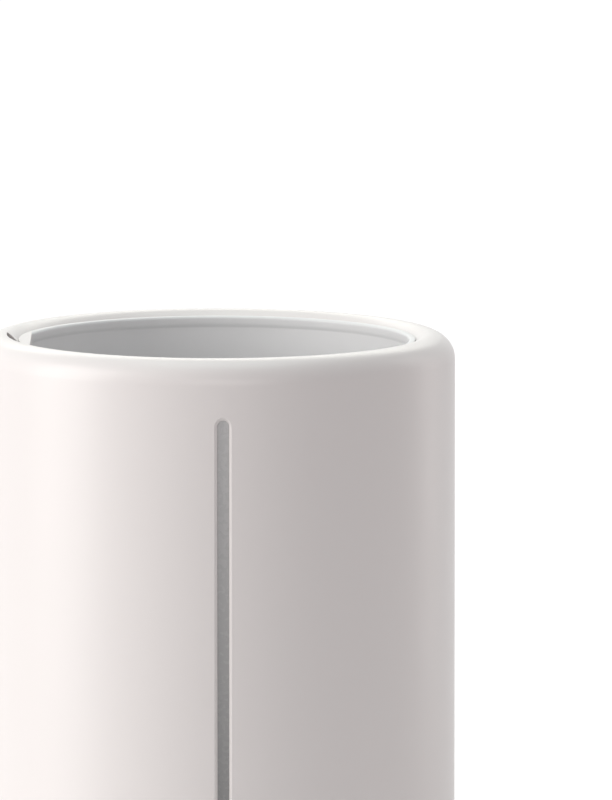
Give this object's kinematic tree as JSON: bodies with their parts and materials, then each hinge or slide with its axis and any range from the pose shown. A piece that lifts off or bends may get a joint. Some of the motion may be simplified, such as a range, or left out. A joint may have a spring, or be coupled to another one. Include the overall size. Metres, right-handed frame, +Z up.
{
  "type": "cool mist humidifier",
  "caption": "Round upright top-fill cool mist humidifier: base with ultrasonic disc and fan, lift-off water tank with level window and mist duct, loose lid.",
  "frame": {"origin": "centre of the foot ring's underside, on the surface the humidifier stands on", "axes": "+Z up along the tank's axis; the button faces -Y and the power inlet +Y; the mist outlet is at -X and the loose lid lies at +X"},
  "size_m": [0.372, 0.1912, 0.315],
  "materials": {
    "white_plastic": "fine matt moulded",
    "white_gloss": "smooth gloss",
    "grey_liner": "smooth satin",
    "clear_grey": "smoked clear plastic",
    "rubber_grey": "matt",
    "steel": "satin",
    "brass": "satin",
    "aluminium": "satin",
    "ceramic_disc": "glazed",
    "black_plastic": "matt",
    "blue_float": "matt foam",
    "filter_foam": "open foam",
    "circuit_board": "satin"
  },
  "bodies": {
    "base": {"foot_ring": "rubber_grey", "bottom_plate": "white_plastic", "base_screws": "steel", "base_housing": "white_plastic", "intake_filter": "filter_foam", "fan_housing": "black_plastic", "air_duct": "white_plastic", "water_basin": "white_plastic", "basin_rim": "white_plastic", "disc_well": "white_plastic", "air_riser": "white_plastic", "valve_post": "white_plastic", "float_post": "white_plastic", "nebuliser_disc": "ceramic_disc", "disc_seal": "rubber_grey", "nebuliser_clamp": "aluminium", "driver_board": "circuit_board", "board_parts": "black_plastic", "board_heatsink": "aluminium", "button_board": "circuit_board", "light_ring": "clear_grey", "power_inlet": "black_plastic", "inlet_pins": "brass"},
    "fan_rotor": {"fan_impeller": "black_plastic", "fan_shaft": "steel"},
    "power_button": {"power_button": "white_gloss"},
    "float": {"float_ring": "blue_float", "float_magnet": "steel"},
    "tank": {"tank_shell": "white_plastic", "level_window": "clear_grey", "tank_liner": "grey_liner", "tank_floor": "grey_liner", "mist_outlet": "white_plastic", "mist_duct": "white_plastic", "tank_plate": "white_plastic", "tank_skirt": "white_plastic", "valve_seat": "white_plastic", "valve_spring": "steel"},
    "valve": {"valve_plunger": "white_gloss", "valve_washer": "rubber_grey"},
    "lid": {"lid_disc": "white_plastic", "lid_gasket": "rubber_grey"}
  },
  "joints": [
    {"name": "fan_spin", "type": "hinge", "parent": "base", "child": "fan_rotor", "pos_m": [0.04163, 0, 0.02], "axis": [0, 0, 1], "continuous": true},
    {"name": "power_push", "type": "slide", "parent": "base", "child": "power_button", "axis": [0, 1, 0], "range_m": [0, 0.0012], "stiffness_N_per_m": 800},
    {"name": "float_rise", "type": "slide", "parent": "base", "child": "float", "axis": [0, 0, 1], "range_m": [0, 0.008]},
    {"name": "tank_lift", "type": "slide", "parent": "base", "child": "tank", "axis": [0, 0, 1], "range_m": [0, 0.1]},
    {"name": "valve_drop", "type": "slide", "parent": "tank", "child": "valve", "axis": [0, 0, 1], "range_m": [-0.004, 0], "deforming": ["valve_spring"]},
    {"name": "lid_lift", "type": "slide", "parent": "base", "child": "lid", "axis": [0, 0, 1], "range_m": [0, 0.1]}
  ],
  "couplings": [
    {"joint": "valve_drop", "follows": "tank_lift", "ratio": -0.04}
  ]
}
